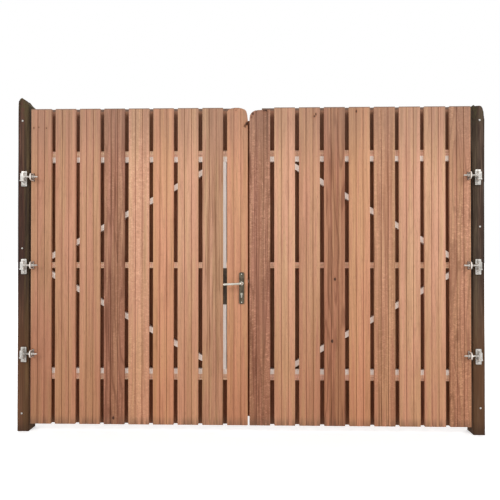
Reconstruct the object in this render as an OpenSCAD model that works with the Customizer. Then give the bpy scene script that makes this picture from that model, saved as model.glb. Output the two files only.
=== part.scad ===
// Wooden double gate: two boarded leaves on welded steel frames, hung between
// two hardwood posts on pin-and-eye hinges. The left leaf has the lever lock.
// Origin: centre of the left post's foot. +X runs towards the right post,
// +Y to the back of the gate, +Z up. Millimetres.

/* [Posts] */
// Width of a post, across the gateway
post_w = 80; // [70:1:120]
// Depth of a post, front to back
post_d = 110; // [90:1:150]
// Height of the left post at its outer edge
left_post_h = 2285; // [2240:1:2500]
// Height of the right post
right_post_h = 2215; // [2190:1:2500]
// Distance of the left post's peak from its outer edge, and the round's radius
post_peak = 16; // [8:1:24]
// Run of the steep stretch beside the left post's peak
post_steep_run = 20; // [10:1:26]
// Fall of the steep stretch beside the left post's peak
post_steep_fall = 36; // [15:1:50]
// Fall of the left post's whole top, peak to inner edge
post_top_fall = 72; // [52:1:100]
// Radius of the right post's worn outer top corner
post_top_r = 26; // [5:1:60]
// Width of the planed edge on a post's four corners
post_arris = 4; // [1:0.5:10]

/* [Boards] */
// Width of one board
board_w = 140; // [110:1:200]
// Thickness of one board
board_t = 20; // [16:1:30]
// Length of a front board
board_len = 2150; // [1700:1:2700]
// Open gap between two boards
board_gap = 28; // [18:1:45]
// Width of the two V grooves in a board's face
groove_w = 5; // [2:0.5:10]
// Depth of the two V grooves
groove_d = 3.5; // [1:0.5:6]
// Planed edge along a board's face
board_arris = 1.5; // [0.5:0.5:4]
// How far a back board's foot reaches below a front board's foot
back_foot_drop = 9; // [0:1:25]
// How far a back board's top stands above a front board's top
back_top_rise = 11; // [0:1:40]
// Corner radius on the left leaf's closing board
left_corner_r = 26; // [5:1:50]
// Corner radius on the right leaf's closing board
right_corner_r = 44; // [5:1:60]

/* [Opening] */
// Height of the boards' feet above the ground
ground_gap = 55; // [30:1:120]
// Gap between a post and the first board
hinge_gap = 13; // [10:1:25]
// Gap between the two closed leaves
meeting_gap = 12; // [12:1:20]

/* [Steel frame] */
// Side of the square tube
tube = 35; // [28:1:45]
// Wall of the square tube
tube_wall = 2.5; // [2:0.5:4]
// Height of the steel frame's bottom above the boards' feet
bottom_overhang = 341; // [250:1:420]
// Height of the boards' tops above the steel frame's top
top_overhang = 329; // [250:1:420]
// Hinge stile's distance from the first board's outer edge
stile_inset = 5; // [2:1:8]
// Left closing stile's distance from the closing edge
left_closing_inset = 146; // [120:1:170]
// Right closing stile's distance from the closing edge
right_closing_inset = 217; // [180:1:260]
// Rail ends' distance from the left leaf's closing edge
left_rail_inset = 20; // [18:1:30]
// Rail ends' distance from the right leaf's closing edge
right_rail_inset = 8; // [5:1:16]
// Slit that is left between the two braces at their meeting point
brace_slit = 1; // [0.5:0.5:4]
// Distance from the first board's outer edge to where the braces' centre lines meet
brace_root = 24; // [5:1:40]

/* [Battens] */
// Height of a wooden batten
batten_h = 40; // [30:1:50]
// Where the middle batten starts, from the first board's outer edge
middle_batten_start = 130; // [125:1:220]
// Width of the cover lath behind the meeting gap
cover_w = 90; // [80:1:110]
// How far the cover lath reaches behind the left leaf
cover_lap = 14; // [8:1:14]
// Height of the cover lath's foot above the boards' feet
cover_foot_rise = 45; // [20:1:100]
// How far the cover lath's top stays below the boards' tops
cover_top_drop = 75; // [60:1:120]

/* [Hinges] */
// Distance of the upper and lower hinge from the ends of the hinge stile
hinge_end = 140; // [100:1:200]
// Distance of the pin's axis in front of the boards' face
pin_out = 30; // [26:1:40]
// Distance of the pin's axis from the post's inner face
pin_inset = 33; // [28:1:40]
// Diameter of the pin
pin_d = 16; // [12:1:20]
// Radial play of the eye on the pin
pin_play = 0.2; // [0.1:0.1:0.5]
// Outer diameter of the eye
eye_d = 26; // [25:1:32]
// Height of the eye
eye_h = 44; // [36:1:52]
// Gap between the eye and the arm below it
eye_lift = 0.3; // [0.1:0.1:1]
// How far the pin stands up above the eye
pin_proud = 3; // [1:1:10]
// Width of the bolted plate
plate_w = 40; // [34:1:46]
// Thickness of the bolted plate
plate_t = 6; // [4:1:8]
// Height of the plate above the rod's axis
plate_up = 42; // [36:1:60]
// Height of the plate below the rod's axis
plate_down = 61; // [50:1:80]
// Width of the arm that carries the pin
arm_w = 32; // [26:1:34]
// Thickness of the arm
arm_t = 8; // [6:1:10]
// Diameter of the threaded rod
rod_d = 12; // [10:1:16]
// How far the rod reaches past the first board's outer edge
rod_reach = 58; // [45:1:80]
// Nut size across flats
nut_af = 19; // [17:1:24]
// Thickness of a nut
nut_t = 10; // [6:1:12]
// Thickness of the ear that the rod passes through
ear_t = 6; // [5:1:8]
// Height of the ear
ear_h = 48; // [40:1:56]
// Corner radius of the ear's front edge
ear_r = 12; // [4:1:16]
// Distance from the first board's outer edge to the ear
ear_inset = 13; // [13:1:14]
// Play of the rod in the ear's hole, on the radius
rod_play = 0.5; // [0.2:0.1:1]
// Free space round the ear in the board's slot, to each side
slot_side = 6; // [4:1:8]
// Free space above and below the ear in the board's slot
slot_end = 4; // [3:1:8]

/* [Lock] */
// Distance of the lever's axis from the left leaf's closing edge
lever_inset = 41; // [38:1:55]
// Distance of the lever's axis below the leaf's mid height
lever_drop = 123; // [110:1:140]
// Height of the lock case
lock_h = 248; // [220:1:300]
// Wall of the lock case and the strike box
lock_wall = 3; // [2:0.5:4]
// Width of a handle plate
lock_plate_w = 33; // [30:1:36]
// Thickness of a handle plate
lock_plate_t = 8; // [6:1:10]
// Height of a handle plate above the lever's axis
lock_plate_up = 75; // [60:1:90]
// Height of a handle plate below the lever's axis
lock_plate_down = 138; // [120:1:150]
// Distance from the lever's axis down to the cylinder's axis
cylinder_drop = 72; // [60:1:92]
// Diameter of the cylinder's round part
cylinder_d = 17; // [16:0.5:18]
// Width of the cylinder's lower part
cylinder_web = 10; // [9:0.5:11]
// Overall height of the cylinder's profile
cylinder_h = 33; // [30:1:36]
// How far the cylinder stands proud of a handle plate
cylinder_proud = 3; // [1:0.5:6]
// Diameter of the lever's neck and grip
lever_d = 17; // [14:1:20]
// Length of the grip from the lever's axis
lever_len = 122; // [100:1:140]
// Distance of the grip's centre line from the handle plate
lever_out = 40; // [34:1:55]
// Diameter of the spindle
spindle_d = 10; // [8:1:12]
// Play of the lever's neck and the cylinder in their holes, on the radius
lock_play = 0.3; // [0.2:0.1:0.6]
// Free space round the lock's pieces where they pass through the board
lock_hole_play = 4; // [2:1:6]
// Height of the latch bolt
latch_h = 20; // [16:1:26]
// Thickness of the latch bolt
latch_t = 12; // [10:1:16]
// How far the latch bolt stands out past the left leaf's closing edge
latch_out = 6; // [3:1:6]
// Height of the latch bolt's centre above the lever's axis
latch_rise = 14; // [8:1:30]
// Width of the strike box
strike_w = 40; // [30:1:60]
// Height of the strike box
strike_h = 216; // [200:1:240]
// Free space round the latch bolt in the strike's slot
strike_play = 5; // [3:1:8]

/* [Hidden] */
board_count = 9;
$fn = 48;

// Across the gateway
pitch = board_w + board_gap;
leaf_w = board_count * pitch - board_gap;
leaf_x = post_w / 2 + hinge_gap;
right_post_x = post_w + 2 * (hinge_gap + leaf_w) + meeting_gap;
mirror_x = right_post_x / 2;

// Front to back
board_front = -post_d / 2;
frame_front = board_front + board_t;
frame_back = frame_front + tube;
pin_y = board_front - pin_out;

// Upwards
board_foot = ground_gap;
board_top = board_foot + board_len;
frame_bottom = board_foot + bottom_overhang;
frame_top = board_top - top_overhang;
frame_mid = (frame_bottom + frame_top) / 2;
hinge_levels = [frame_bottom + hinge_end, frame_mid, frame_top - hinge_end];

// Hinge side, measured from the first board's outer edge
pin_x = -(hinge_gap + pin_inset);
pin_r = pin_d / 2;
eye_bottom = -eye_h / 2;
arm_top = eye_bottom - eye_lift;
arm_front = pin_y - arm_w / 2;
ear_front = pin_y - rod_d - 6;

// Closing side and lock, measured from the same edge
lever_x = leaf_w - lever_inset;
lever_z = frame_mid - lever_drop;
lock_top = frame_mid - batten_h / 2;
lock_left = leaf_w - left_closing_inset - tube;
lock_right = leaf_w - left_rail_inset;

front_boards = [for (side = ["left", "right"], i = [1:board_count])
    str(side, "_front_board_", i)];

// ---- placing the two leaves ----

// The left leaf is drawn from its first board's outer edge
module on_left() { translate([leaf_x, 0, 0]) children(); }

// The right leaf is the left one mirrored at the middle of the gateway
module on_right() { translate([2 * mirror_x, 0, 0]) mirror([1, 0, 0]) on_left() children(); }

module at_hinges() { for (z = hinge_levels) translate([0, 0, z]) children(); }

// ---- posts ----

module post_bar(h) {
    c = post_arris;
    w = post_w / 2;
    d = post_d / 2;
    linear_extrude(height = h)
        polygon([[-w + c, -d], [w - c, -d], [w, -d + c], [w, d - c],
                 [w - c, d], [-w + c, d], [-w, d - c], [-w, -d + c]]);
}

// The weathered top rises to a round peak at the outer edge
module left_post() {
    over = 1;
    peak_x = post_peak - post_w / 2;
    color([0.31, 0.24, 0.20]) difference() {
        post_bar(left_post_h);
        translate([peak_x, post_d / 2 + over, left_post_h]) rotate([90, 0, 0])
            linear_extrude(height = post_d + 2 * over) {
                polygon([[0, 0], [post_steep_run, -post_steep_fall],
                         [post_w - post_peak + over, -post_top_fall],
                         [post_w - post_peak + over, over], [0, over]]);
                translate([0, -post_peak]) mirror([1, 0]) corner_waste(post_peak, over);
            }
    }
}

module right_post() {
    over = 1;
    color([0.33, 0.28, 0.23]) translate([right_post_x, 0, 0]) difference() {
        post_bar(right_post_h);
        translate([post_w / 2 - post_top_r, post_d / 2 + over, right_post_h - post_top_r])
            rotate([90, 0, 0]) linear_extrude(height = post_d + 2 * over)
                corner_waste(post_top_r, over);
    }
}

// What is cut away outside a quarter circle, with a margin
module corner_waste(r, over) {
    difference() {
        square(r + over);
        circle(r = r);
    }
}

// ---- boards ----

// One grooved board lying along +Z, face at y = 0 and body towards +Y
module board(length) {
    c = board_arris;
    g = groove_w / 2;
    v1 = board_w / 3;
    v2 = 2 * board_w / 3;
    linear_extrude(height = length)
        polygon([[0, c], [c, 0], [v1 - g, 0], [v1, groove_d], [v1 + g, 0],
                 [v2 - g, 0], [v2, groove_d], [v2 + g, 0], [board_w - c, 0],
                 [board_w, c], [board_w, board_t], [0, board_t]]);
}

module ear_slots() {
    w = ear_t + 2 * slot_side;
    h = ear_h + 2 * slot_end;
    at_hinges() translate([ear_inset - slot_side, board_front - 1, -h / 2])
        cube([w, board_t + 2, h]);
}

module lock_holes() {
    translate([lever_x, frame_front + 1, lever_z]) rotate([90, 0, 0])
        linear_extrude(height = board_t + 2) {
            circle(d = lever_d + 2 * lock_hole_play);
            translate([0, -cylinder_drop]) cylinder_profile(lock_hole_play);
        }
}

module front_board(i, corner_r) {
    difference() {
        translate([(i - 1) * pitch, board_front, board_foot]) board(board_len);
        if (i == 1) ear_slots();
        if (i == board_count)
            translate([leaf_w - corner_r, frame_front + 1, board_top - corner_r])
                rotate([90, 0, 0]) linear_extrude(height = board_t + 2)
                    corner_waste(corner_r, 1);
    }
}

module left_front_board(i) {
    color([0.76, 0.57, 0.44]) on_left() difference() {
        front_board(i, left_corner_r);
        if (i == board_count) lock_holes();
    }
}

module right_front_board(i) {
    color([0.74, 0.55, 0.43]) on_right() front_board(i, right_corner_r);
}

// The back boards stand behind the gaps of the front ones, faces to the back
module back_boards() {
    length = board_len + back_foot_drop + back_top_rise;
    for (i = [1:board_count - 1])
        translate([i * pitch - board_gap / 2 + board_w / 2, frame_back + board_t,
                   board_foot - back_foot_drop])
            rotate([0, 0, 180]) board(length);
}

module left_back_boards() { color([0.42, 0.30, 0.22]) on_left() back_boards(); }

module right_back_boards() { color([0.42, 0.30, 0.22]) on_right() back_boards(); }

// Lath on the right leaf that covers the meeting gap from behind
module meeting_cover() {
    length = board_len - cover_foot_rise - cover_top_drop;
    color([0.40, 0.28, 0.21]) on_right()
        translate([leaf_w + meeting_gap + cover_lap - cover_w, frame_back,
                   board_foot + cover_foot_rise])
            cube([cover_w, board_t, length]);
}

// ---- battens ----

module batten(from, to, z) {
    translate([from, frame_front, z]) cube([to - from, tube, batten_h]);
}

module battens(closing_inset, rail_inset) {
    stile_outer = leaf_w - closing_inset;
    end = leaf_w - rail_inset;
    batten(stile_inset, end, frame_top);
    batten(stile_inset, end, frame_bottom - batten_h);
    batten(middle_batten_start, stile_outer - tube, frame_mid - batten_h / 2);
    batten(stile_outer, end, frame_mid - batten_h / 2);
}

module left_battens() {
    color([0.66, 0.49, 0.38]) on_left() battens(left_closing_inset, left_rail_inset);
}

module right_battens() {
    color([0.66, 0.49, 0.38]) on_right() battens(right_closing_inset, right_rail_inset);
}

// ---- steel frame ----

module zinc() { color([0.78, 0.79, 0.79]) children(); }

// Square tube along +X, from the frame's front face backwards
module tube_along_x(from, to, z) {
    w = tube_wall;
    translate([from, frame_front, z]) difference() {
        cube([to - from, tube, tube]);
        translate([-1, w, w]) cube([to - from + 2, tube - 2 * w, tube - 2 * w]);
    }
}

module tube_along_z(x, from, to) {
    w = tube_wall;
    translate([x, frame_front, from]) difference() {
        cube([tube, tube, to - from]);
        translate([w, w, -1]) cube([tube - 2 * w, tube - 2 * w, to - from + 2]);
    }
}

module top_rail(rail_inset) {
    tube_along_x(stile_inset + tube, leaf_w - rail_inset, frame_top - tube);
}

module bottom_rail(rail_inset) {
    tube_along_x(stile_inset + tube, leaf_w - rail_inset, frame_bottom);
}

module left_top_rail() { zinc() on_left() top_rail(left_rail_inset); }

module right_top_rail() { zinc() on_right() top_rail(right_rail_inset); }

module left_bottom_rail() { zinc() on_left() bottom_rail(left_rail_inset); }

module right_bottom_rail() { zinc() on_right() bottom_rail(right_rail_inset); }

// Ear welded to the hinge stile: it passes through the first board's slot
module ear() {
    depth = frame_front - ear_front;
    translate([ear_inset, 0, 0]) rotate([90, 0, 90]) linear_extrude(height = ear_t)
        difference() {
            union() {
                translate([ear_front + ear_r, -ear_h / 2]) square([depth - ear_r, ear_h]);
                translate([ear_front, -ear_h / 2 + ear_r])
                    square([ear_r, ear_h - 2 * ear_r]);
                for (z = [-1, 1])
                    translate([ear_front + ear_r, z * (ear_h / 2 - ear_r)]) circle(r = ear_r);
            }
            translate([pin_y, 0]) circle(d = rod_d + 2 * rod_play);
        }
}

module hinge_stile() {
    tube_along_z(stile_inset, frame_bottom, frame_top);
    at_hinges() ear();
}

module left_hinge_stile() { zinc() on_left() hinge_stile(); }

module right_hinge_stile() { zinc() on_right() hinge_stile(); }

module closing_stile(closing_inset, from, to) {
    tube_along_z(leaf_w - closing_inset - tube, from, to);
}

// The left closing stile is broken by the lock case
module left_closing_stile() {
    zinc() on_left() {
        closing_stile(left_closing_inset, frame_bottom + tube, lock_top - lock_h);
        closing_stile(left_closing_inset, lock_top, frame_top - tube);
    }
}

module right_closing_stile() {
    zinc() on_right()
        closing_stile(right_closing_inset, frame_bottom + tube, frame_top - tube);
}

// A bar's outline from the braces' root to the corner of the frame's upper half
module brace_strip(width, x_end, rise) {
    run = x_end - brace_root;
    length = sqrt(run * run + rise * rise);
    translate([brace_root, 0]) rotate([0, 0, atan2(rise, run)])
        translate([-2 * width, -width / 2]) square([length + 4 * width, width]);
}

// Upper brace drawn flat: cut off square to the stiles, the rail and its twin
module brace_outline(width, x_end, rise) {
    x_start = stile_inset + tube;
    intersection() {
        brace_strip(width, x_end, rise);
        translate([x_start, brace_slit / 2]) square([x_end - x_start, rise - brace_slit / 2]);
    }
}

module braces(closing_inset) {
    w = tube_wall;
    x_end = leaf_w - closing_inset - tube;
    rise = frame_top - tube - frame_mid;
    for (up = [0, 1])
        translate([0, frame_back, frame_mid]) mirror([0, 0, 1 - up]) rotate([90, 0, 0])
            difference() {
                linear_extrude(height = tube) brace_outline(tube, x_end, rise);
                translate([0, 0, w]) linear_extrude(height = tube - 2 * w)
                    brace_outline(tube - 2 * w, x_end, rise);
            }
}

module left_braces() { zinc() on_left() braces(left_closing_inset); }

module right_braces() { zinc() on_right() braces(right_closing_inset); }

// ---- hinges ----

// Bolted plate with an arm that carries the pin
module hinge_bracket() {
    translate([pin_x - plate_w / 2, board_front - plate_t, -plate_down])
        cube([plate_w, plate_t, plate_down + plate_up]);
    translate([pin_x - arm_w / 2, pin_y, arm_top - arm_t])
        cube([arm_w, board_front - plate_t - pin_y, arm_t]);
    translate([pin_x, pin_y, arm_top - arm_t]) cylinder(d = arm_w, h = arm_t);
    translate([pin_x, pin_y, arm_top - arm_t])
        cylinder(r = pin_r, h = arm_t + eye_lift + eye_h + pin_proud);
}

module left_hinge_brackets() { zinc() on_left() at_hinges() hinge_bracket(); }

module right_hinge_brackets() { zinc() on_right() at_hinges() hinge_bracket(); }

module nut(x) {
    translate([x, pin_y, 0]) rotate([0, 90, 0])
        cylinder(d = nut_af / cos(30), h = nut_t, $fn = 6);
}

// Eye on the pin, with the threaded rod and its two nuts
module eye_bolt() {
    difference() {
        union() {
            translate([pin_x, pin_y, eye_bottom]) cylinder(d = eye_d, h = eye_h);
            translate([pin_x, pin_y, 0]) rotate([0, 90, 0])
                cylinder(d = rod_d, h = rod_reach - pin_x);
        }
        translate([pin_x, pin_y, eye_bottom - 1])
            cylinder(r = pin_r + pin_play, h = eye_h + 2);
    }
    nut(ear_inset - nut_t);
    nut(ear_inset + ear_t);
}

module left_eye_bolts() { zinc() on_left() at_hinges() eye_bolt(); }

module right_eye_bolts() { zinc() on_right() at_hinges() eye_bolt(); }

// ---- lock ----

// Outline of the profile cylinder: a round head over a narrow web
module cylinder_profile(play) {
    web = cylinder_web + 2 * play;
    drop = cylinder_h - cylinder_d / 2 - cylinder_web / 2;
    circle(d = cylinder_d + 2 * play);
    translate([-web / 2, -drop]) square([web, drop]);
    translate([0, -drop]) circle(d = web);
}

// Both lock openings as an outline seen from the front
module lock_outline(play) {
    circle(d = lever_d + 2 * play);
    translate([0, -cylinder_drop]) cylinder_profile(play);
}

// Moves an outline drawn in x and z to the lever's axis, from y towards the front
module at_lever(y) { translate([lever_x, y, lever_z]) rotate([90, 0, 0]) children(); }

module lock_case() {
    w = lock_wall;
    inner = [lock_right - lock_left - 2 * w, tube - 2 * w, lock_h - 2 * w];
    color([0.25, 0.24, 0.22]) on_left() {
        difference() {
            translate([lock_left, frame_front, lock_top - lock_h])
                cube([lock_right - lock_left, tube, lock_h]);
            translate([lock_left + w, frame_front + w, lock_top - lock_h + w]) cube(inner);
            at_lever(frame_back + 1) linear_extrude(height = tube + 2) lock_outline(lock_play);
        }
        translate([lock_right - w, frame_front + (tube - latch_t) / 2,
                   lever_z + latch_rise - latch_h / 2])
            cube([w + left_rail_inset + latch_out, latch_t, latch_h]);
    }
}

module handle_plate(y) {
    r = lock_plate_w / 2;
    at_lever(y) linear_extrude(height = lock_plate_t) difference() {
        union() {
            translate([-r, r / 2 - lock_plate_down])
                square([lock_plate_w, lock_plate_up + lock_plate_down - r]);
            translate([-r / 2, -lock_plate_down]) square([r, lock_plate_up + lock_plate_down]);
            for (x = [-1, 1], z = [lock_plate_up - r / 2, r / 2 - lock_plate_down])
                translate([x * r / 2, z]) circle(d = r);
        }
        lock_outline(lock_play);
    }
}

module front_handle_plate() {
    color([0.33, 0.30, 0.26]) on_left() handle_plate(board_front);
}

module back_handle_plate() {
    color([0.33, 0.30, 0.26]) on_left() handle_plate(frame_back + lock_plate_t);
}

// One lever, drawn from the face of its plate towards +Y
module lever() {
    translate([0, -lock_plate_t, 0]) rotate([-90, 0, 0])
        cylinder(d = lever_d, h = lock_plate_t + lever_out);
    translate([0, lever_out, 0]) sphere(d = lever_d);
    translate([0, lever_out, 0]) rotate([0, -90, 0])
        cylinder(d = lever_d, h = lever_len - lever_d / 2);
    translate([lever_d / 2 - lever_len, lever_out, 0]) sphere(d = lever_d);
}

module lever_handles() {
    back_face = frame_back + lock_plate_t;
    front_face = board_front - lock_plate_t;
    color([0.74, 0.74, 0.70]) on_left() translate([lever_x, 0, lever_z]) {
        translate([0, back_face, 0]) lever();
        translate([0, front_face, 0]) mirror([0, 1, 0]) lever();
        translate([0, front_face, 0]) rotate([-90, 0, 0])
            cylinder(d = spindle_d, h = back_face - front_face);
    }
}

module lock_cylinder() {
    length = frame_back - board_front + 2 * (lock_plate_t + cylinder_proud);
    color([0.70, 0.68, 0.60]) on_left()
        at_lever(frame_back + lock_plate_t + cylinder_proud)
            translate([0, -cylinder_drop]) linear_extrude(height = length)
                cylinder_profile(0);
}

// Steel channel behind the right closing board, open towards its hinges
module strike_box() {
    w = lock_wall;
    slot = latch_h + 2 * strike_play;
    slot_z = lever_z + latch_rise - slot / 2;
    x = leaf_w - strike_w;
    zinc() on_right() difference() {
        translate([x, frame_front, lock_top - strike_h]) cube([strike_w, tube, strike_h]);
        translate([x - 1, frame_front + w, lock_top - strike_h - 1])
            cube([strike_w - w + 1, tube - 2 * w, strike_h + 2]);
        translate([leaf_w - w - 1, frame_front + tube / 2 - latch_t / 2 - strike_play, slot_z])
            cube([w + 2, latch_t + 2 * strike_play, slot]);
    }
}

// ---- what is drawn ----

left_post();
right_post();
left_hinge_brackets();
right_hinge_brackets();
for (i = [1:board_count]) {
    left_front_board(i);
    right_front_board(i);
}
left_back_boards();
right_back_boards();
left_battens();
right_battens();
left_top_rail();
right_top_rail();
left_bottom_rail();
right_bottom_rail();
left_hinge_stile();
right_hinge_stile();
left_closing_stile();
right_closing_stile();
left_braces();
right_braces();
left_eye_bolts();
right_eye_bolts();
meeting_cover();
lock_case();
front_handle_plate();
back_handle_plate();
lever_handles();
lock_cylinder();
strike_box();
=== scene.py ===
import math

import bpy
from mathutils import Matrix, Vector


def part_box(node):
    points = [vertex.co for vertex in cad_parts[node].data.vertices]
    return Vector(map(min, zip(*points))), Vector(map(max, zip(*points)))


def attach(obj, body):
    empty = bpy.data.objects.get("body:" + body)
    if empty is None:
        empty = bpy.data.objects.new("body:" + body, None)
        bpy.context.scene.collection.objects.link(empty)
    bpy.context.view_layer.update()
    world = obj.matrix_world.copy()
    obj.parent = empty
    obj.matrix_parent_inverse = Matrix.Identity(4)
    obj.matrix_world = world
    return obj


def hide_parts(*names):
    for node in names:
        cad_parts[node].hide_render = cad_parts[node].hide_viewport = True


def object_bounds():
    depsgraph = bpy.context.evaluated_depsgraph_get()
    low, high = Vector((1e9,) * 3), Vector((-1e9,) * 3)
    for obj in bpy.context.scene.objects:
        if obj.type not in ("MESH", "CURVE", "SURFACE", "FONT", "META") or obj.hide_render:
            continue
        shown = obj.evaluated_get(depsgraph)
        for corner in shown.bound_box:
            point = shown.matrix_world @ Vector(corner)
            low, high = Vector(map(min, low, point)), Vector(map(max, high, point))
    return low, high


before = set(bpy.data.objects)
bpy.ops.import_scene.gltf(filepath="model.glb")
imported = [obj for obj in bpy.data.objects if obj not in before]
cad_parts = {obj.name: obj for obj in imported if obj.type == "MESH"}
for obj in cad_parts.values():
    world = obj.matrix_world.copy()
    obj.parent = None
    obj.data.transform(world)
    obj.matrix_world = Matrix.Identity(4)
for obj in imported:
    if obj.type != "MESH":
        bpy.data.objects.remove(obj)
cad_low, cad_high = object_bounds()

# ---- Posts ----
# Two old hardwood posts, hewn by hand and set in the ground. The left one has
# weathered to a peak at its outer edge, the right one is cut nearly flat.
MM = 0.001


def srgb(red, green, blue):
    """A colour from its screen values, 0 to 255."""
    return tuple(((c / 255 + 0.055) / 1.055) ** 2.4 for c in (red, green, blue)) + (1.0,)


def shader_node(tree, kind, inputs=(), **settings):
    made = tree.nodes.new("ShaderNode" + kind)
    for key, value in settings.items():
        setattr(made, key, value)
    for socket, value in dict(inputs).items():
        if isinstance(value, bpy.types.NodeSocket):
            tree.links.new(value, made.inputs[socket])
        else:
            made.inputs[socket].default_value = value
    return made


def calc(tree, operation, a, b=0.0):
    return shader_node(tree, "Math", {0: a, 1: b}, operation=operation).outputs[0]


def blend(tree, share, a, b, how="MIX"):
    settings = dict(data_type="RGBA", blend_type=how)
    return shader_node(tree, "Mix", {0: share, 6: a, 7: b}, **settings).outputs[2]


def stretched(tree, source, scale, seed=0.0):
    """The source's place, scaled on each axis and shifted by the seed."""
    shift = (seed * 1.7, seed * 0.9, seed * 2.3)
    inputs = {"Vector": source, "Location": shift, "Scale": scale}
    return shader_node(tree, "Mapping", inputs).outputs[0]


def noise(tree, source, detail=2.0, distortion=0.0):
    inputs = {"Vector": source, "Scale": 1.0, "Detail": detail, "Roughness": 0.55,
              "Distortion": distortion}
    return shader_node(tree, "TexNoise", inputs).outputs["Fac"]


def ramp(tree, value, start, end, low=0.0, high=1.0):
    """Low before start, high after end, and smooth in between."""
    inputs = {"Value": value, "From Min": start, "From Max": end, "To Min": low, "To Max": high}
    return shader_node(tree, "MapRange", inputs, interpolation_type="SMOOTHSTEP").outputs[0]


def new_material(name, roughness, metallic=0.0):
    material = bpy.data.materials.new(name)
    material.use_nodes = True
    shader = material.node_tree.nodes["Principled BSDF"]
    shader.inputs["Roughness"].default_value = roughness
    shader.inputs["Metallic"].default_value = metallic
    return material, material.node_tree, shader


def dull(shader):
    """Takes the shine off: dry, weathered surfaces mirror very little."""
    shader.inputs["Specular IOR Level"].default_value = 0.2


def set_bump(tree, shader, height, distance, strength=1.0):
    inputs = {"Height": height, "Distance": distance, "Strength": strength}
    bump = shader_node(tree, "Bump", inputs)
    tree.links.new(bump.outputs[0], shader.inputs["Normal"])


def old_timber(name, tones, centre, top, inner_side, seed):
    """Brown on the outer half, olive on the inner half, with moss on the top.

    tones are dark and light for the outer half, then for the inner half."""
    material, tree, shader = new_material(name, 0.85)
    dull(shader)
    place = shader_node(tree, "TexCoord").outputs["Object"]
    axes = shader_node(tree, "SeparateXYZ", {0: place}).outputs
    broad = noise(tree, stretched(tree, place, (22, 22, 1.6), seed), 4, 0.6)
    streaks = noise(tree, stretched(tree, place, (150, 150, 3.5), seed), 4, 0.3)
    pits = noise(tree, stretched(tree, place, (420, 420, 16), seed), 2)
    inward = calc(tree, "MULTIPLY", calc(tree, "SUBTRACT", axes[0], centre), inner_side)
    wander = ramp(tree, broad, 0.2, 0.8, -0.012, 0.012)
    inner = ramp(tree, calc(tree, "ADD", inward, wander), -0.006, 0.016)
    outer_dark, outer_light, inner_dark, inner_light = (srgb(*tone) for tone in tones)
    outer_tone = blend(tree, ramp(tree, broad, 0.35, 0.7), outer_dark, outer_light)
    inner_tone = blend(tree, ramp(tree, broad, 0.35, 0.7), inner_dark, inner_light)
    tone = blend(tree, inner, outer_tone, inner_tone)
    tone = blend(tree, ramp(tree, streaks, 0.38, 0.62, 0.0, 0.75), tone, srgb(52, 38, 32))
    tone = blend(tree, ramp(tree, pits, 0.56, 0.72, 0.0, 0.6), tone, srgb(34, 25, 21))
    tufts = noise(tree, stretched(tree, place, (60, 60, 40), seed), 3)
    mossy = calc(tree, "MULTIPLY", ramp(tree, axes[2], top - 0.16, top - 0.03),
                 ramp(tree, tufts, 0.4, 0.6))
    tone = blend(tree, calc(tree, "MULTIPLY", mossy, 0.6), tone, srgb(77, 72, 45))
    tone = blend(tree, ramp(tree, axes[2], 1.15, 0.45, 0.0, 0.28), tone, srgb(142, 96, 58))
    damp = ramp(tree, axes[2], 0.10, 0.0, 0.0, 0.5)
    tone = blend(tree, damp, tone, srgb(44, 33, 28))
    tree.links.new(tone, shader.inputs["Base Color"])
    height = calc(tree, "ADD", streaks, calc(tree, "MULTIPLY", broad, 0.5))
    height = calc(tree, "SUBTRACT", height, calc(tree, "MULTIPLY", pits, 0.5))
    set_bump(tree, shader, height, 0.003, 0.8)
    return material


def only(obj):
    """Selects one object alone and makes it the active one."""
    bpy.ops.object.select_all(action="DESELECT")
    obj.select_set(True)
    bpy.context.view_layer.objects.active = obj
    return obj


def block(low, high):
    """A box primitive between two corners, with its place in its mesh."""
    bpy.ops.object.select_all(action="DESELECT")
    centre = [(a + b) / 2 for a, b in zip(low, high)]
    bpy.ops.mesh.primitive_cube_add(size=1, location=centre)
    obj = bpy.context.object
    obj.scale = [b - a for a, b in zip(low, high)]
    bpy.ops.object.transform_apply(location=True, rotation=True, scale=True)
    return obj


def pick(obj, mode, test):
    """Selects in edit mode the vertices, edges or faces that pass the test."""
    only(obj)
    bpy.ops.object.mode_set(mode="EDIT")
    bpy.ops.mesh.select_mode(type=mode)
    bpy.ops.mesh.select_all(action="DESELECT")
    bpy.ops.object.mode_set(mode="OBJECT")
    mesh = obj.data
    if mode == "VERT":
        for vertex in mesh.vertices:
            vertex.select = test(vertex.co)
    if mode == "EDGE":
        for edge in mesh.edges:
            a, b = (mesh.vertices[i].co for i in edge.vertices)
            edge.select = test(a, b)
    if mode == "FACE":
        for face in mesh.polygons:
            face.select = test(face)
    bpy.ops.object.mode_set(mode="EDIT")


def take_all(obj, mode="VERT"):
    """Selects the whole mesh in edit mode."""
    only(obj)
    bpy.ops.object.mode_set(mode="EDIT")
    bpy.ops.mesh.select_mode(type=mode)
    bpy.ops.mesh.select_all(action="SELECT")


def done():
    bpy.ops.object.mode_set(mode="OBJECT")


def split_along(obj, axis, cuts):
    """Cuts every edge that runs along one axis into equal lengths."""
    pick(obj, "EDGE", lambda a, b: abs((b - a).normalized()[axis]) > 0.99)
    bpy.ops.mesh.subdivide(number_cuts=cuts)
    done()


def apply_modifier(obj, kind, **settings):
    only(obj)
    modifier = obj.modifiers.new("work", kind)
    for key, value in settings.items():
        setattr(modifier, key, value)
    bpy.ops.object.modifier_apply(modifier=modifier.name)


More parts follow.
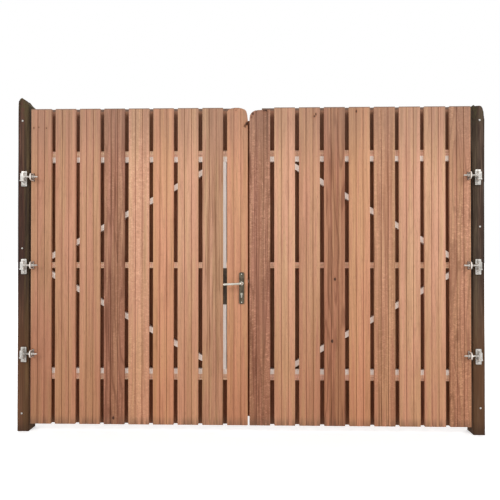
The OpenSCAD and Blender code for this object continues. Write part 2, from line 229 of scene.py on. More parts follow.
def weather(obj, size, stretch_z, strength, seed, depth=2):
    """Roughens the surface with a pattern that is drawn out along the grain."""
    guide = bpy.data.objects.new("guide", None)
    bpy.context.scene.collection.objects.link(guide)
    guide.scale = (1, 1, stretch_z)
    guide.location = (seed, seed * 0.3, 0)
    bpy.context.view_layer.update()
    texture = bpy.data.textures.new("work", "CLOUDS")
    texture.noise_scale = size
    texture.noise_depth = depth
    apply_modifier(obj, "DISPLACE", texture=texture, texture_coords="OBJECT",
                   texture_coords_object=guide, strength=strength, mid_level=1.0)
    bpy.data.objects.remove(guide)
    bpy.data.textures.remove(texture)


def dress(obj, name, body, material, angle=35):
    """Names a finished piece, gives it its material and hangs it on its body."""
    only(obj)
    bpy.ops.object.transform_apply(location=True, rotation=True, scale=True)
    bpy.ops.object.shade_smooth_by_angle(angle=math.radians(angle))
    obj.name = name
    obj.data.name = name
    obj.data.materials.clear()
    obj.data.materials.append(material)
    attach(obj, body)
    return obj


def fit_inside(obj, low, high):
    """Shrinks a worn piece across the grain until it is within its sawn size."""
    middle = (low + high) / 2
    shrink = [1.0, 1.0, 1.0]
    for axis in (0, 1):
        reach = max(abs(vertex.co[axis] - middle[axis]) for vertex in obj.data.vertices)
        shrink[axis] = min(1.0, (high[axis] - middle[axis]) / reach)
    take_all(obj)
    bpy.ops.transform.resize(value=shrink, center_override=middle)
    done()


# cuts across the post's width, through its depth and along its height
WIDTH_CUTS, DEPTH_CUTS, HEIGHT_CUTS = 15, 21, 170
TOP_REACH = 3 * MM
WORN_ARRIS = 5 * MM


def worn_post(node, name, top_profile, tones, seed, inner_side):
    low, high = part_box(node)
    post = block(low, high)
    split_along(post, 0, WIDTH_CUTS)
    split_along(post, 1, DEPTH_CUTS)
    for across, drop in top_profile:
        x = low.x + across * MM
        pick(post, "VERT", lambda co: co.z > low.z + MM and abs(co.x - x) < TOP_REACH)
        bpy.ops.transform.translate(value=(0, 0, -drop * MM))
        done()
    split_along(post, 2, HEIGHT_CUTS)

    def at_corner(co):
        return (min(abs(co.x - low.x), abs(co.x - high.x)) < MM
                and min(abs(co.y - low.y), abs(co.y - high.y)) < MM)

    pick(post, "EDGE", lambda a, b: at_corner(a) and at_corner(b) and abs(a.z - b.z) > MM)
    bpy.ops.mesh.bevel(offset=WORN_ARRIS, segments=2)
    done()
    weather(post, 0.13, 3.2, 3.0 * MM, seed)
    weather(post, 0.016, 26.0, 2.2 * MM, seed + 0.7, depth=3)
    fit_inside(post, low, high)
    material = old_timber(name, tones, (low.x + high.x) / 2, high.z, inner_side, seed)
    dress(post, name, "root", material, 60)
    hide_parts(node)


# the tops: mm from the post's left side, mm below its highest point
LEFT_TOP = [(0, 45), (5, 22), (10, 11), (15, 5), (20, 2), (25, 0), (30, 0), (35, 3), (40, 8),
            (45, 15), (50, 22), (55, 28), (60, 33), (65, 37), (70, 41), (75, 46), (80, 51)]
RIGHT_TOP = [(0, 3), (5, 0), (10, 0), (15, 6), (20, 7), (25, 7), (30, 6), (35, 6), (40, 5),
             (45, 5), (50, 6), (55, 7), (60, 9), (65, 14), (70, 23), (75, 44), (80, 105)]
# dark and light of the outer half, then of the inner half
LEFT_TONES = ((66, 38, 30), (106, 75, 61), (54, 42, 26), (94, 76, 52))
RIGHT_TONES = ((72, 52, 42), (120, 100, 85), (58, 46, 34), (98, 82, 64))
worn_post("left_post", "left_post_timber", LEFT_TOP, LEFT_TONES, 1.0, 1)
worn_post("right_post", "right_post_timber", RIGHT_TOP, RIGHT_TONES, 4.0, -1)

# ---- Screws in the posts ----
# Pan-head screws, zinc plated and still bright, that tie each post to what
# stands behind it. Each has a washer under its head.


def disc(centre, axis, radius, depth, sides=24):
    """A cylinder primitive on a centre, lying along the x, y or z axis."""
    bpy.ops.object.select_all(action="DESELECT")
    turn = {"x": (0, math.pi / 2, 0), "y": (math.pi / 2, 0, 0), "z": (0, 0, 0)}[axis]
    bpy.ops.mesh.primitive_cylinder_add(vertices=sides, radius=radius, depth=depth,
                                        location=centre, rotation=turn)
    obj = bpy.context.object
    bpy.ops.object.transform_apply(location=True, rotation=True, scale=True)
    return obj


def round_edges(obj, width, segments=3, angle=30):
    apply_modifier(obj, "BEVEL", width=width, segments=segments, limit_method="ANGLE",
                   angle_limit=math.radians(angle))


def join(pieces):
    bpy.ops.object.select_all(action="DESELECT")
    for piece in pieces:
        piece.select_set(True)
    bpy.context.view_layer.objects.active = pieces[0]
    bpy.ops.object.join()
    return bpy.context.object


def copied(obj, shift):
    """A copy with its own mesh, which is moved by the shift."""
    twin = obj.copy()
    twin.data = obj.data.copy()
    bpy.context.scene.collection.objects.link(twin)
    take_all(twin)
    bpy.ops.transform.translate(value=shift)
    done()
    return twin


def zinc(name, light, dark, seed, roughness, metallic=0.45):
    """Zinc with its frost-like spangle and a duller bloom over it."""
    material, tree, shader = new_material(name, roughness, metallic)
    place = shader_node(tree, "TexCoord").outputs["Object"]
    fine = stretched(tree, place, (170, 170, 170), seed)
    cells = shader_node(tree, "TexVoronoi", {"Vector": fine, "Scale": 1.0})
    shade = shader_node(tree, "SeparateColor", {0: cells.outputs["Color"]}).outputs[0]
    bloom = noise(tree, stretched(tree, place, (14, 14, 9), seed), 5)
    share = calc(tree, "ADD", calc(tree, "MULTIPLY", shade, 0.35),
                 ramp(tree, bloom, 0.35, 0.75, 0.0, 0.65))
    tree.links.new(blend(tree, share, light, dark), shader.inputs["Base Color"])
    rough = ramp(tree, bloom, 0.3, 0.7, roughness - 0.08, roughness + 0.14)
    tree.links.new(rough, shader.inputs["Roughness"])
    grit = noise(tree, stretched(tree, place, (300, 300, 300), seed), 3)
    set_bump(tree, shader, grit, 0.0004, 0.4)
    return material


BRIGHT_ZINC = zinc("bright_zinc", srgb(228, 224, 218), srgb(142, 139, 132), 2.0, 0.4)
WASHER_R, WASHER_T = 6.2 * MM, 1.8 * MM
HEAD_R, HEAD_T, HEAD_RIM, SOCKET_DEPTH = 4.6 * MM, 3.4 * MM, 2.2 * MM, 1.2 * MM
# how deep the worn face lies behind the sawn one where the screws are
FACE_WEAR = 3.5 * MM
# how far right each row stands, and the heights of its screws
LEFT_SCREWS = (-0.008, (2.126, 1.251, 0.123))
RIGHT_SCREWS = (3.094, (2.111, 1.396, 0.182))


def pan_screw(x, y, z):
    washer = disc((x, y - 0.7 * MM, z), "y", WASHER_R, WASHER_T)
    head = disc((x, y - 2.4 * MM, z), "y", HEAD_R, HEAD_T)
    round_edges(head, 1.2 * MM, 3)
    pick(head, "FACE", lambda f: f.normal.y < -0.99)
    bpy.ops.mesh.inset(thickness=HEAD_RIM)
    bpy.ops.transform.translate(value=(0, SOCKET_DEPTH, 0))
    done()
    return join([head, washer])


post_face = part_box("left_post")[0].y + FACE_WEAR
for name, (x, heights) in (("left_post_screws", LEFT_SCREWS), ("right_post_screws", RIGHT_SCREWS)):
    screws = join([pan_screw(x, post_face, z) for z in heights])
    dress(screws, name, "root", BRIGHT_ZINC)

# ---- Hinge brackets ----
# A flat plate bolted to the post with two hexagon bolts, an arm welded across
# it and an upright pin on the arm. Pressed and welded steel, dipped in zinc.
bracket_low, bracket_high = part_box("left_hinge_brackets")
leaf_low, leaf_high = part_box("left_hinge_stile")
HINGE_END = 140 * MM
HINGE_LEVELS = [leaf_low.z + HINGE_END, (leaf_low.z + leaf_high.z) / 2, leaf_high.z - HINGE_END]
PLATE_W, PLATE_T, PLATE_UP, PLATE_DOWN = 38 * MM, 6 * MM, 42 * MM, 61 * MM
BOLT_UP, BOLT_DOWN = 31.5 * MM, 47 * MM
ARM_W, ARM_T = 32 * MM, 8 * MM
PIN_R, PIN_STAND = 8 * MM, 30 * MM
PIN_X = (bracket_low.x + bracket_high.x) / 2
PLATE_BACK = bracket_high.y
PLATE_FACE = PLATE_BACK - PLATE_T
PIN_Y = PLATE_BACK - PIN_STAND
RIGHT_PIN_X = sum(corner.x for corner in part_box("right_hinge_brackets")) / 2
EYE_H, EYE_LIFT, PIN_PROUD = 44 * MM, 0.3 * MM, 3 * MM
ARM_TOP = -EYE_H / 2 - EYE_LIFT
PIN_SHIFTS = (("left", 0.0), ("right", RIGHT_PIN_X - PIN_X))


def hexagon_bolt(x, y, z):
    washer = disc((x, y - 0.8 * MM, z), "y", 10 * MM, 1.8 * MM, 28)
    round_edges(washer, 0.4 * MM, 2)
    head = disc((x, y - 4.4 * MM, z), "y", 9.0 * MM, 5.6 * MM, 6)
    round_edges(head, 0.9 * MM, 2, 60)
    return [washer, head]


def hinge_bracket(level):
    low = (PIN_X - PLATE_W / 2, PLATE_FACE, level - PLATE_DOWN)
    plate = block(low, (PIN_X + PLATE_W / 2, PLATE_BACK, level + PLATE_UP))
    pick(plate, "EDGE", lambda a, b: abs(a.y - b.y) > MM)
    bpy.ops.mesh.bevel(offset=4 * MM, segments=4)
    done()
    round_edges(plate, 1.2 * MM, 2)
    arm_middle = level + ARM_TOP - ARM_T / 2
    arm = disc((PIN_X, PIN_Y, arm_middle), "z", ARM_W / 2, ARM_T, 40)
    take_all(arm, "FACE")
    bpy.ops.mesh.bisect(plane_co=(PIN_X, PIN_Y, level), plane_no=(0, 1, 0), use_fill=True,
                        clear_outer=True)
    done()
    pick(arm, "FACE", lambda f: f.normal.y > 0.99)
    reach = (0, PLATE_FACE - PIN_Y, 0)
    bpy.ops.mesh.extrude_region_move(TRANSFORM_OT_translate={"value": reach})
    done()
    round_edges(arm, 1.2 * MM, 2)
    length = ARM_T + EYE_LIFT + EYE_H + PIN_PROUD
    pin = disc((PIN_X, PIN_Y, level + ARM_TOP - ARM_T + length / 2), "z", PIN_R, length, 32)
    round_edges(pin, 1.5 * MM, 3)
    weld = disc((PIN_X, PLATE_FACE, arm_middle), "x", 5.5 * MM, ARM_W - 3 * MM, 12)
    round_edges(weld, 1.5 * MM, 2)
    bolts = hexagon_bolt(PIN_X, PLATE_FACE, level + BOLT_UP)
    bolts += hexagon_bolt(PIN_X, PLATE_FACE, level - BOLT_DOWN)
    return join([plate, arm, pin, weld] + bolts)


def all_hinges(part_at, pin_shift, turned):
    """A part at each hinge level, half turned about its pin if asked, then moved across."""
    parts = []
    for level in HINGE_LEVELS:
        part = part_at(level)
        if turned:
            take_all(part)
            bpy.ops.transform.rotate(value=math.pi, orient_axis="Z",
                                     center_override=(PIN_X, PIN_Y, level))
            done()
        parts.append(part)
    whole = join(parts)
    take_all(whole)
    bpy.ops.transform.translate(value=(pin_shift, 0, 0))
    done()
    return whole


for side, shift in PIN_SHIFTS:
    brackets = all_hinges(hinge_bracket, shift, False)
    dress(brackets, side + "_hinge_plates", "root", BRIGHT_ZINC)
    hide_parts(side + "_hinge_brackets")

# ---- Eye bolts ----
# A forged eye that turns on the pin and a threaded rod that runs through the
# ear of the leaf, with a nut on each side to set the leaf's gap.
EYE_R, ROD_R = 13 * MM, 6 * MM
EAR_SETBACK, EAR_T = 13 * MM, 6 * MM
EAR_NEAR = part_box("left_front_board_1")[0].x + EAR_SETBACK
EAR_FAR = EAR_NEAR + EAR_T
ROD_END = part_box("left_eye_bolts")[1].x
NUT_T, NUT_AF = 10 * MM, 19 * MM
THREAD_PITCH, THREAD_ROOT = 1.75 * MM, 0.84


def threaded_rod(from_x, to_x, level):
    """A rod whose every second ring is drawn in to the thread's root."""
    turns = round((to_x - from_x) / THREAD_PITCH)
    middle = ((from_x + to_x) / 2, PIN_Y, level)
    rod = disc(middle, "x", ROD_R, to_x - from_x, 16)
    split_along(rod, 0, 2 * turns - 1)
    step = (to_x - from_x) / (2 * turns)
    pick(rod, "VERT", lambda co: round((co.x - from_x) / step) % 2 == 0)
    bpy.ops.transform.resize(value=(1, THREAD_ROOT, THREAD_ROOT), center_override=middle)
    done()
    return rod


def nut(from_x, level):
    corner_r = NUT_AF / 2 / math.cos(math.pi / 6)
    made = disc((from_x + NUT_T / 2, PIN_Y, level), "x", corner_r, NUT_T, 6)
    round_edges(made, 1.1 * MM, 2, 60)
    return made


def eye_bolt(level):
    eye = disc((PIN_X, PIN_Y, level), "z", EYE_R, EYE_H, 40)
    pick(eye, "FACE", lambda f: abs(f.normal.z) > 0.99)
    bpy.ops.mesh.inset(thickness=EYE_R - PIN_R - 0.2 * MM)
    bpy.ops.mesh.delete(type="FACE")
    done()
    pick(eye, "EDGE", lambda a, b: max(math.hypot(c.x - PIN_X, c.y - PIN_Y) for c in (a, b))
         < PIN_R + MM)
    bpy.ops.mesh.bridge_edge_loops()
    done()
    round_edges(eye, 1.2 * MM, 3)
    neck = disc((PIN_X + 15 * MM, PIN_Y, level), "x", ROD_R + 1.2 * MM, 8 * MM, 24)
    round_edges(neck, 1.5 * MM, 2)
    rod = threaded_rod(PIN_X + 12 * MM, ROD_END, level)
    return join([eye, neck, rod, nut(EAR_NEAR - NUT_T, level), nut(EAR_FAR, level)])


for side, shift in PIN_SHIFTS:
    eyes = all_hinges(eye_bolt, shift, side == "right")
    dress(eyes, side + "_threaded_eyes", side + "_leaf", BRIGHT_ZINC)
    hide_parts(side + "_eye_bolts")

# ---- Steel frames ----
# Square tube, welded up and dipped in zinc as one frame for each leaf. The open
# rail ends at the meeting gap are closed by black plastic caps.
FRAME_ZINC = zinc("frame_zinc", srgb(252, 241, 231), srgb(226, 213, 202), 5.0, 0.5, 0.2)
# the closing stile gets a paler, whiter copy of the frame zinc: painted light for how brightly its
# face is lit
LIT_STILE_ZINC = zinc("stile_zinc_painted_light", srgb(254, 252, 248), srgb(246, 242, 236), 8.0, 0.5, 0.1)


def give(node, material):
    """Lays a material on a node that keeps its own shape."""
    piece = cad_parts[node]
    piece.data.materials.clear()
    piece.data.materials.append(material)


def shade_painted_ears(name):
    """The frame's zinc, with painted shade on the flat sides of the three ears."""
    material = FRAME_ZINC.copy()
    material.name = name
    tree = material.node_tree
    shader = tree.nodes["Principled BSDF"]
    place = shader_node(tree, "TexCoord").outputs["Object"]
    axes = shader_node(tree, "SeparateXYZ", {0: place}).outputs
    off = [calc(tree, "ABSOLUTE", calc(tree, "SUBTRACT", axes[2], level))
           for level in HINGE_LEVELS]
    nearest = calc(tree, "MINIMUM", calc(tree, "MINIMUM", off[0], off[1]), off[2])
    in_front = calc(tree, "LESS_THAN", axes[1], leaf_low.y + 46 * MM)
    behind_rim = ramp(tree, axes[1], leaf_low.y + 2 * MM, leaf_low.y + 5 * MM)
    inside = ramp(tree, nearest, 22.5 * MM, 20.5 * MM)
    ear_side_shade = calc(tree, "MULTIPLY", in_front, calc(tree, "MULTIPLY", behind_rim, inside))
    tone = shader.inputs["Base Color"].links[0].from_socket
    # painted shade: the flat sides of the ears in front of the boards are darkened
    ear_shade_tone = blend(tree, calc(tree, "MULTIPLY", ear_side_shade, 0.8), tone, srgb(88, 76, 62))
    tree.links.new(ear_shade_tone, shader.inputs["Base Color"])
    return material


SHADED_EAR_ZINC = shade_painted_ears("ear_zinc_painted_shade")
for side in ("left", "right"):
    for part in ("top_rail", "bottom_rail", "braces"):
        give(side + "_" + part, FRAME_ZINC)
    give(side + "_hinge_stile", SHADED_EAR_ZINC)
    give(side + "_closing_stile", LIT_STILE_ZINC)

cap_black, cap_tree, cap_shader = new_material("cap_plastic", 0.5)
cap_place = shader_node(cap_tree, "TexCoord").outputs["Object"]
cap_noise = noise(cap_tree, stretched(cap_tree, cap_place, (90, 90, 90)), 3)
cap_tone = blend(cap_tree, cap_noise, srgb(28, 28, 29), srgb(52, 51, 50))
cap_tree.links.new(cap_tone, cap_shader.inputs["Base Color"])
CAP_T = 3 * MM
for side, outward in (("left", 1), ("right", -1)):
    caps = []
    for rail in ("_top_rail", "_bottom_rail"):
        low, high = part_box(side + rail)
        x = high.x if outward == 1 else low.x
        ends = sorted((x, x + outward * CAP_T))
        cap = block((ends[0], low.y, low.z), (ends[1], high.y, high.z))
        pick(cap, "EDGE", lambda a, b: abs(a.x - b.x) > MM)
        bpy.ops.mesh.bevel(offset=3 * MM, segments=4)
        done()
        round_edges(cap, 0.8 * MM, 2)
        caps.append(cap)
    dress(join(caps), side + "_rail_caps", side + "_leaf", cap_black)

# ---- Battens ----
# Three sawn hardwood battens on each leaf carry the boards: above the top rail,
# at mid height and below the bottom rail. Their grain runs across the leaf.


def wood(name, tone, seed, grain="Z", ends=None, grooves=(), knots=(), figure=0.15,
         streak=0.8, ripple=0.0):
    """Hardwood: broad bands, streaks and pores drawn out along the grain.

    ends is the foot and top of an upright board, grooves are the x of its V
    grooves, along which painted shade is laid, knots are (x, z, radius). figure,
    streak and ripple are strengths; ripple is the strength of a painted sheen and
    painted shade on the ripple figure."""
    material, tree, shader = new_material(name, 0.7)
    dull(shader)
    place = shader_node(tree, "TexCoord").outputs["Object"]
    axes = shader_node(tree, "SeparateXYZ", {0: place}).outputs

    def across(wide, long):
        scale = (wide, wide, long) if grain == "Z" else (long, wide, wide)
        return stretched(tree, place, scale, seed)

    broad = noise(tree, across(14, 0.45), 2, 0.5)
    bands = noise(tree, across(48, 0.9), 3, 0.5)
    streaks = noise(tree, across(150, 2.2), 3, 0.3)
    pores = noise(tree, across(800, 26), 2)
    rings = calc(tree, "MULTIPLY", noise(tree, across(9, 0.7), 2, 0.3), 16.0)
    rings = calc(tree, "PINGPONG", rings, 1.0)
    red, green, blue = tone
    light = srgb(min(red * 1.09, 255), min(green * 1.10, 255), min(blue * 1.12, 255))
    middle = srgb(red, green, blue)
    dark = srgb(red * 0.86, green * 0.81, blue * 0.76)
    deep = srgb(red * 0.60, green * 0.50, blue * 0.44)
    colour = blend(tree, ramp(tree, broad, 0.35, 0.65), light, middle)
    hue = noise(tree, across(26, 1.1), 2, 0.4)
    yellow = srgb(red * 1.0, min(green * 1.05, 255), blue * 0.95)
    rosy = srgb(min(red * 1.03, 255), green * 0.93, blue * 0.97)
    colour = blend(tree, 0.36, colour, blend(tree, ramp(tree, hue, 0.38, 0.62), yellow, rosy))
    # the ripple figure: painted sheen where the curl is raised and painted shade where it dips
    if ripple:
        curl = noise(tree, stretched(tree, place, (38, 38, 62), seed), 2, 1.6)
        patch = noise(tree, stretched(tree, place, (12, 12, 3), seed + 3), 2)
        patch = ramp(tree, patch, 0.30, 0.50)
        painted_sheen = srgb(min(red * 1.24, 255), min(green * 1.27, 255), min(blue * 1.3, 255))
        sheen_crests = calc(tree, "MULTIPLY", patch, ramp(tree, curl, 0.52, 0.66, 0.0, ripple))
        colour = blend(tree, sheen_crests, colour, painted_sheen)
        shaded_hollows = calc(tree, "MULTIPLY", patch, ramp(tree, curl, 0.45, 0.3, 0.0, ripple))
        colour = blend(tree, shaded_hollows, colour, dark)
    colour = blend(tree, ramp(tree, bands, 0.42, 0.68, 0.0, 0.6 * streak), colour, dark)
    colour = blend(tree, ramp(tree, rings, 0.55, 0.95, 0.0, figure), colour, deep)
    colour = blend(tree, ramp(tree, streaks, 0.48, 0.74, 0.0, 0.6 * streak), colour, deep)
    colour = blend(tree, ramp(tree, pores, 0.58, 0.70, 0.0, 0.5), colour, deep)
    if ends:
        foot, top = ends
        rise = axes[2]
        low_tint = ramp(tree, rise, top * 0.75, foot, 0.0, 0.5)
        colour = blend(tree, low_tint, colour, srgb(222, 200, 176), "MULTIPLY")
        silver = calc(tree, "MULTIPLY", ramp(tree, rise, top - 0.5, top - 0.02, 0.0, 0.55),
                      ramp(tree, bands, 0.35, 0.6, 0.5, 1.0))
        colour = blend(tree, silver, colour, srgb(150, 117, 98))
        splash = calc(tree, "MULTIPLY", ramp(tree, rise, foot + 0.07, foot, 0.0, 0.6),
                      ramp(tree, bands, 0.3, 0.6))
        colour = blend(tree, splash, colour, srgb(110, 84, 66))
        rim = ramp(tree, rise, top - 0.009, top - 0.002, 0.0, 0.65)
        colour = blend(tree, rim, colour, srgb(110, 97, 88))
    # painted shade: the wood is darkened along each V groove, as shade in its crease
    for x in grooves:
        off = calc(tree, "ABSOLUTE", calc(tree, "SUBTRACT", axes[0], x))
        colour = blend(tree, ramp(tree, off, 3.6 * MM, 2.0 * MM, 0.0, 0.34), colour, deep)
    for x, z, radius in knots:
        beside = calc(tree, "SUBTRACT", axes[0], x)
        above = calc(tree, "MULTIPLY", calc(tree, "SUBTRACT", axes[2], z), 0.7)
        flat = shader_node(tree, "CombineXYZ", {0: beside, 2: above}).outputs[0]
        away = shader_node(tree, "VectorMath", {0: flat}, operation="LENGTH").outputs["Value"]
        away = calc(tree, "ADD", away, ramp(tree, streaks, 0.2, 0.8, -0.004, 0.004))
        colour = blend(tree, ramp(tree, away, radius * 3.2, radius, 0.0, 0.45), colour, dark)
        core = ramp(tree, away, radius * 1.1, radius * 0.6, 0.0, 0.92)
        colour = blend(tree, core, colour, srgb(58, 34, 27))
    tree.links.new(colour, shader.inputs["Base Color"])
    tree.links.new(ramp(tree, streaks, 0.3, 0.7, 0.6, 0.8), shader.inputs["Roughness"])
    height = calc(tree, "ADD", bands, calc(tree, "MULTIPLY", streaks, 0.8))
    height = calc(tree, "SUBTRACT", height, calc(tree, "MULTIPLY", pores, 0.7))
    set_bump(tree, shader, height, 0.0011, 0.6)
    return material


BATTEN_TONES = {"left": (240, 200, 172), "right": (230, 188, 160)}
for seed, (side, tone) in enumerate(BATTEN_TONES.items()):
    batten_wood = wood(side + "_batten_wood", tone, 11.0 + seed, grain="X", figure=0.1)
    give(side + "_battens", batten_wood)

# ---- Front boards ----
# Planed hardwood boards with two V grooves, screwed to the battens from behind.
# Every board has its own tone, and all have greyed a little at the top.
TONES = {
    "pale": (211, 163, 132),
    "rosy": (206, 153, 119),
    "plain": (197, 148, 118),
    "sandy": (195, 152, 122),
    "tan": (187, 139, 110),
    "umber": (175, 127, 103),
    "red": (182, 131, 103),
}
LEFT_BOARDS = "tan plain plain umber pale rosy pale sandy rosy".split()
RIGHT_BOARDS = "tan pale pale plain rosy red plain pale umber".split()
# how strongly growth rings, ripples and streaks show, where they aren't faint
FIGURED = {"left_front_board_4": 0.42, "right_front_board_6": 0.45, "right_front_board_1": 0.36,
           "right_front_board_9": 0.42}
RIPPLED = {"right_front_board_1": 0.65, "right_front_board_9": 0.8, "left_front_board_4": 0.5,
           "left_front_board_5": 0.4, "right_front_board_4": 0.4}
STREAKED = {"left_front_board_4": 1.2, "left_front_board_8": 1.1, "right_front_board_9": 1.2,
            "right_front_board_6": 1.2, "right_front_board_4": 1.1}
# dark knots, in mm: from the board's left edge, above the ground, radius
KNOTS = {
    "left_front_board_1": [(20, 2076, 4), (52, 2080, 3), (104, 2074, 4)],
    "left_front_board_4": [(66, 98, 9)],
    "left_front_board_9": [(124, 2082, 9), (133, 2098, 8), (60, 2188, 5)],
    "right_front_board_9": [(100, 2186, 9), (116, 2187, 8), (24, 2164, 6), (12, 2140, 4)],
    "right_front_board_7": [(103, 2144, 8), (112, 2157, 5)],
    "right_front_board_6": [(72, 1042, 8), (52, 625, 9)],
    "right_front_board_5": [(50, 2175, 6)],
}
board_low, board_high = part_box("left_front_board_1")
BOARD_FOOT, BOARD_TOP = board_low.z, board_high.z
BOARD_W = 140 * MM
board_woods = {}
for side, tones in (("left", LEFT_BOARDS), ("right", RIGHT_BOARDS)):
    for i, tone in enumerate(tones, 1):
        node = f"{side}_front_board_{i}"
        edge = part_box(node)[0].x
        knots = [(edge + x * MM, z * MM, r * MM) for x, z, r in KNOTS.get(node, [])]
        seed = i * 1.31 + (17.0 if side == "right" else 0.0)
        board_woods[node] = wood(
            node + "_wood", TONES[tone], seed, ends=(BOARD_FOOT, BOARD_TOP),
            grooves=[edge + BOARD_W / 3, edge + BOARD_W * 2 / 3], knots=knots,
            figure=FIGURED.get(node, 0.12), streak=STREAKED.get(node, 0.5),
            ripple=RIPPLED.get(node, 0.0))
        give(node, board_woods[node])

# ---- Closing boards ----
# The two boards that meet in the middle. Their tops are sawn to a crown and
# worn, and splinters have broken out beside the meeting gap.


def merged_copy(node):
    """A free copy of a node's mesh, with its flat faces made whole again."""
    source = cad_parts[node]
    twin = source.copy()
    twin.data = source.data.copy()
    for key in list(twin.keys()):
        del twin[key]
    twin.parent = None
    bpy.context.scene.collection.objects.link(twin)
    take_all(twin)
    bpy.ops.mesh.remove_doubles(threshold=0.01 * MM)
    bpy.ops.mesh.dissolve_limited(angle_limit=math.radians(0.5))
    done()
    return twin


def carve(obj, cutter):
    apply_modifier(obj, "BOOLEAN", object=cutter, operation="DIFFERENCE", solver="EXACT")
    bpy.data.objects.remove(cutter)


def splinter(centre, size, lean):
    """A sharp chip: a five-sided cone, drawn out and laid over to one side."""
    bpy.ops.object.select_all(action="DESELECT")
    bpy.ops.mesh.primitive_cone_add(vertices=5, radius1=1, radius2=0.15, depth=2,
                                    location=centre, rotation=(0, lean, 0))
    cutter = bpy.context.object
    cutter.scale = [s / 2 for s in size]
    bpy.ops.object.transform_apply(location=True, rotation=True, scale=True)
    return cutter


# the crown's outline, in mm: from the left edge, below the full height
CROWNS = {
    "left_front_board_9": [(0, 24), (12, 13), (30, 4), (50, 0.5), (80, 0.5), (100, 5),
                           (118, 12), (130, 23), (137, 48), (140, 76)],
    "right_front_board_9": [(0, 76), (3, 52), (11, 38), (22, 28), (38, 20), (60, 17), (140, 15)],
}
# chips, in mm: from the left edge, below the full height, size; and how far each leans
CHIPS = {
    "left_front_board_9": [(125, 121, (22, 26, 36), math.radians(-117)),
                           (137, 108, (18, 30, 38), math.radians(-12))],
    "right_front_board_9": [(110, 17, (34, 14, 14), 0.3), (22, 33, (12, 8, 18), 0.8)],
}
for node, crown in CROWNS.items():
    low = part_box(node)[0]
    board = merged_copy(node)
    for (x0, drop0), (x1, drop1) in zip(crown, crown[1:]):
        take_all(board, "FACE")
        start = (low.x + x0 * MM, low.y, BOARD_TOP - drop0 * MM)
        length = math.hypot(drop1 - drop0, x1 - x0)
        outward = ((drop1 - drop0) / length, 0, (x1 - x0) / length)
        bpy.ops.mesh.bisect(plane_co=start, plane_no=outward, use_fill=True, clear_outer=True)
        done()
    for across, down, size, lean in CHIPS[node]:
        centre = (low.x + across * MM, low.y, BOARD_TOP - down * MM)
        carve(board, splinter(centre, [extent * MM for extent in size], lean))
    name = node.replace("front_board_9", "closing_board")
    dress(board, name, node.split("_")[0] + "_leaf", board_woods[node])
    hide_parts(node)

# ---- Back boards and cover lath ----
# Boards of the same kind, a little longer, behind each gap with their faces to
# the back. A plain lath on the right leaf covers the meeting gap. All are fixed
# to the battens by screws from the back.
# The back boards and the cover lath are a darker, browner wood than the front boards; part of this
# is painted shade for the deep gaps they are seen through.
for seed, side in enumerate(("left", "right")):
    give(side + "_back_boards", wood(side + "_back_wood", (160, 110, 82), 31.0 + seed * 5,
                                     ends=(BOARD_FOOT, BOARD_TOP), streak=1.1, figure=0.2))
cover_wood = wood("cover_wood", (164, 112, 84), 43.0, ends=(BOARD_FOOT, BOARD_TOP), streak=1.0)
give("meeting_cover", cover_wood)

BACK_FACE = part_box("left_back_boards")[1].y
BACK_COUNT, PITCH = 8, 168 * MM
SCREW_INSET, BATTEN_HALF = 24 * MM, 20 * MM
batten_low, batten_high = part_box("left_battens")
BATTEN_LEVELS = [batten_low.z + BATTEN_HALF, HINGE_LEVELS[1], batten_high.z - BATTEN_HALF]


def sunk_screw(x, z):
    """A countersunk head, a little proud, with a square recess."""
    head = disc((x, BACK_FACE - 0.4 * MM, z), "y", 4.2 * MM, 2.0 * MM, 16)
    pick(head, "FACE", lambda f: f.normal.y > 0.99)
    bpy.ops.mesh.inset(thickness=0.6 * MM)
    bpy.ops.transform.translate(value=(0, 0.3 * MM, 0))
    bpy.ops.mesh.inset(thickness=1.8 * MM)
    bpy.ops.transform.translate(value=(0, -1.0 * MM, 0))
    done()
    return head


def screw_rows(first_x, count, spots):
    """One screw is made, and the rest are copies of it."""
    pattern = sunk_screw(first_x + spots[0], BATTEN_LEVELS[0])
    rows = []
    for i in range(count):
        for spot in spots:
            for level in BATTEN_LEVELS:
                shift = (i * PITCH + spot - spots[0], 0, level - BATTEN_LEVELS[0])
                rows.append(copied(pattern, shift))
    bpy.data.objects.remove(pattern)
    return join(rows)


for side in ("left", "right"):
    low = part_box(side + "_back_boards")[0]
    screws = screw_rows(low.x, BACK_COUNT, [SCREW_INSET, BOARD_W - SCREW_INSET])
    dress(screws, side + "_back_screws", side + "_leaf", BRIGHT_ZINC)
cover_screws = screw_rows(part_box("meeting_cover")[1].x - SCREW_INSET, 1, [0.0])
dress(cover_screws, "cover_screws", "right_leaf", BRIGHT_ZINC)

# ---- Lock case and strike ----
# A folded steel case between the closing stile and the closing board, painted
# dark, with the latch bolt's nose. The right leaf has a zinc strike box.


def painted_steel(name, light, dark, roughness, metallic, grain):
    """Coated or dulled metal with rubbed patches and a fine uneven skin."""
    material, tree, shader = new_material(name, roughness, metallic)
    place = shader_node(tree, "TexCoord").outputs["Object"]
    rubbed = noise(tree, stretched(tree, place, (grain, grain, grain * 0.6)), 5, 0.4)
    fine = noise(tree, stretched(tree, place, (900, 900, 500)), 3)
    share = calc(tree, "ADD", ramp(tree, rubbed, 0.35, 0.65, 0.0, 0.8),
                 calc(tree, "MULTIPLY", fine, 0.2))
    tree.links.new(blend(tree, share, light, dark), shader.inputs["Base Color"])
    rough = ramp(tree, rubbed, 0.3, 0.7, roughness - 0.06, roughness + 0.12)
    tree.links.new(rough, shader.inputs["Roughness"])
    set_bump(tree, shader, fine, 0.0003, 0.4)
    return material


